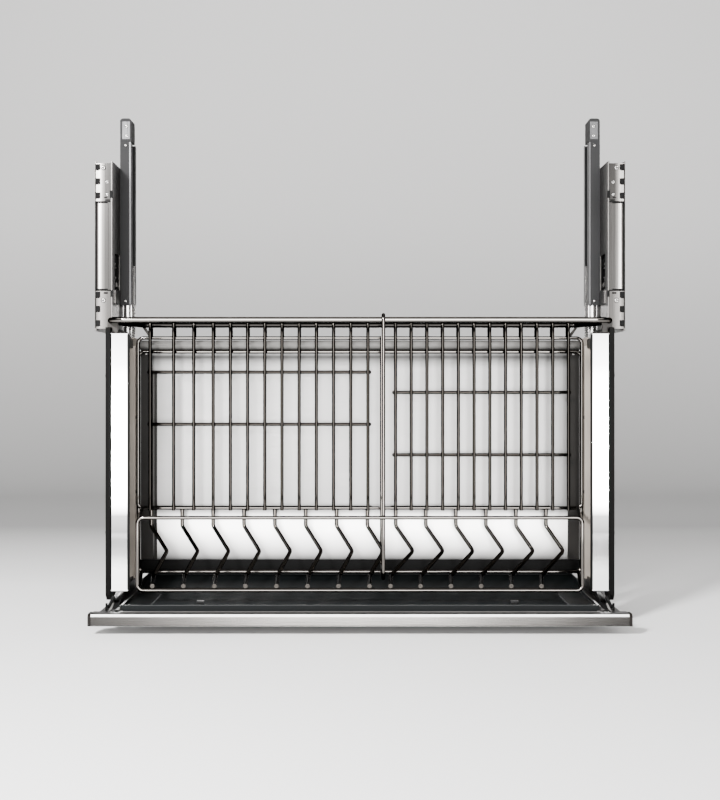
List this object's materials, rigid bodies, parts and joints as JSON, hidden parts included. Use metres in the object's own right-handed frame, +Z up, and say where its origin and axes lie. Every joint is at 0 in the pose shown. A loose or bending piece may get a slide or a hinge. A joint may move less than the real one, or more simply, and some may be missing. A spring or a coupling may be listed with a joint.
{
  "type": "lift-down dish rack",
  "caption": "Dish rack that lifts up into a wall cabinet on telescopic columns, with plate fences, kinked floor wires, a drip tray and a full-width handle.",
  "frame": {"origin": "centre of the whole rack with its lift units, rack lowered", "axes": "+X to the right, +Y to the back of the cabinet, +Z up"},
  "size_m": [0.864, 0.3, 0.8134],
  "materials": {
    "unit_steel": "satin zinc-plated folded sheet",
    "damper_metal": "bright drawn tube",
    "column_dark": "satin dark grey coat",
    "stage_steel": "bright rolled steel",
    "glide_nylon": "dry nylon",
    "spool_plastic": "moulded drum with steel band",
    "latch_black": "black coat",
    "fastener_steel": "bright plated",
    "side_black": "black satin coat",
    "post_chrome": "polished",
    "frame_grey": "dark warm grey coat",
    "wire_steel": "polished stainless wire",
    "band_grey": "satin warm grey coat",
    "rear_dark": "satin dark coat",
    "bar_satin": "satin rolled sheet",
    "bracket_steel": "bright folded sheet",
    "runner_dark": "satin dark coat",
    "ring_steel": "polished stainless tube",
    "panel_satin": "satin sheet",
    "handle_steel": "fine brushed along its length",
    "handle_cap": "dark moulded",
    "tray_black": "black moulded, satin",
    "bar_black": "gloss black coat"
  },
  "bodies": {
    "lift_units": {"left_wall_plate": "unit_steel", "left_cheek_plate": "unit_steel", "left_upper_bracket": "unit_steel", "left_lower_bracket": "unit_steel", "left_damper_cover": "unit_steel", "left_damper": "damper_metal", "left_outer_channel": "column_dark", "left_column_cap": "column_dark", "left_unit_fasteners": "fastener_steel", "right_wall_plate": "unit_steel", "right_cheek_plate": "unit_steel", "right_upper_bracket": "unit_steel", "right_lower_bracket": "unit_steel", "right_damper_cover": "unit_steel", "right_damper": "damper_metal", "right_outer_channel": "column_dark", "right_column_cap": "column_dark", "right_unit_fasteners": "fastener_steel"},
    "rack": {"left_inner_stage": "stage_steel", "left_side_plate": "side_black", "left_front_post": "post_chrome", "left_carriage_post": "band_grey", "left_rear_post": "rear_dark", "left_handle_bracket": "bracket_steel", "left_tray_runner": "runner_dark", "right_inner_stage": "stage_steel", "right_side_plate": "side_black", "right_front_post": "post_chrome", "right_carriage_post": "band_grey", "right_rear_post": "rear_dark", "right_handle_bracket": "bracket_steel", "right_tray_runner": "runner_dark", "post_plugs": "handle_cap", "side_rails": "frame_grey", "ring_brackets": "frame_grey", "top_crossbar": "bar_satin", "low_crossbar": "bar_black", "back_panel": "panel_satin", "handle": "handle_steel", "handle_end_caps": "handle_cap", "top_ring": "ring_steel", "rear_wire_frame": "wire_steel", "inner_wire_frame": "wire_steel", "front_wire_frame": "wire_steel", "left_fence": "wire_steel", "right_fence": "wire_steel", "left_floor_mat": "wire_steel", "right_floor_mat": "wire_steel", "centre_divider": "wire_steel", "rack_fasteners": "fastener_steel"},
    "drip_tray": {"drip_tray": "tray_black", "tray_clips": "fastener_steel"},
    "left_stage": {"left_middle_stage": "stage_steel", "left_glides": "glide_nylon"},
    "left_latch": {"left_latch": "latch_black"},
    "left_spool": {"left_spring_spool": "spool_plastic"},
    "right_stage": {"right_middle_stage": "stage_steel", "right_glides": "glide_nylon"},
    "right_latch": {"right_latch": "latch_black"},
    "right_spool": {"right_spring_spool": "spool_plastic"}
  },
  "joints": [
    {"name": "lift", "type": "slide", "parent": "lift_units", "child": "rack", "axis": [0, 0, 1], "range_m": [0, 0.405]},
    {"name": "tray_slide", "type": "slide", "parent": "rack", "child": "drip_tray", "axis": [0, -1, 0], "range_m": [0, 0.22]},
    {"name": "left_stage_slide", "type": "slide", "parent": "lift_units", "child": "left_stage", "axis": [0, 0, 1], "range_m": [0, 0.2025]},
    {"name": "left_latch_turn", "type": "hinge", "parent": "lift_units", "child": "left_latch", "pos_m": [-0.417, 0.065, 0.14535], "axis": [0, 0, 1], "range_deg": [0, 30], "stiffness_Nm_per_rad": 0.01},
    {"name": "left_spool_turn", "type": "hinge", "parent": "lift_units", "child": "left_spool", "pos_m": [-0.3945, 0.104, 0.3863], "axis": [1, 0, 0], "range_deg": [0, 1640]},
    {"name": "right_stage_slide", "type": "slide", "parent": "lift_units", "child": "right_stage", "axis": [0, 0, 1], "range_m": [0, 0.2025]},
    {"name": "right_latch_turn", "type": "hinge", "parent": "lift_units", "child": "right_latch", "pos_m": [0.417, 0.065, 0.14535], "axis": [0, 0, -1], "range_deg": [0, 30], "stiffness_Nm_per_rad": 0.01},
    {"name": "right_spool_turn", "type": "hinge", "parent": "lift_units", "child": "right_spool", "pos_m": [0.3945, 0.104, 0.3863], "axis": [1, 0, 0], "range_deg": [0, 1640]}
  ],
  "couplings": [
    {"joint": "left_stage_slide", "follows": "lift", "ratio": 0.5},
    {"joint": "left_spool_turn", "follows": "lift", "rad_per_m": 68.966},
    {"joint": "right_stage_slide", "follows": "lift", "ratio": 0.5},
    {"joint": "right_spool_turn", "follows": "lift", "rad_per_m": 68.966}
  ]
}
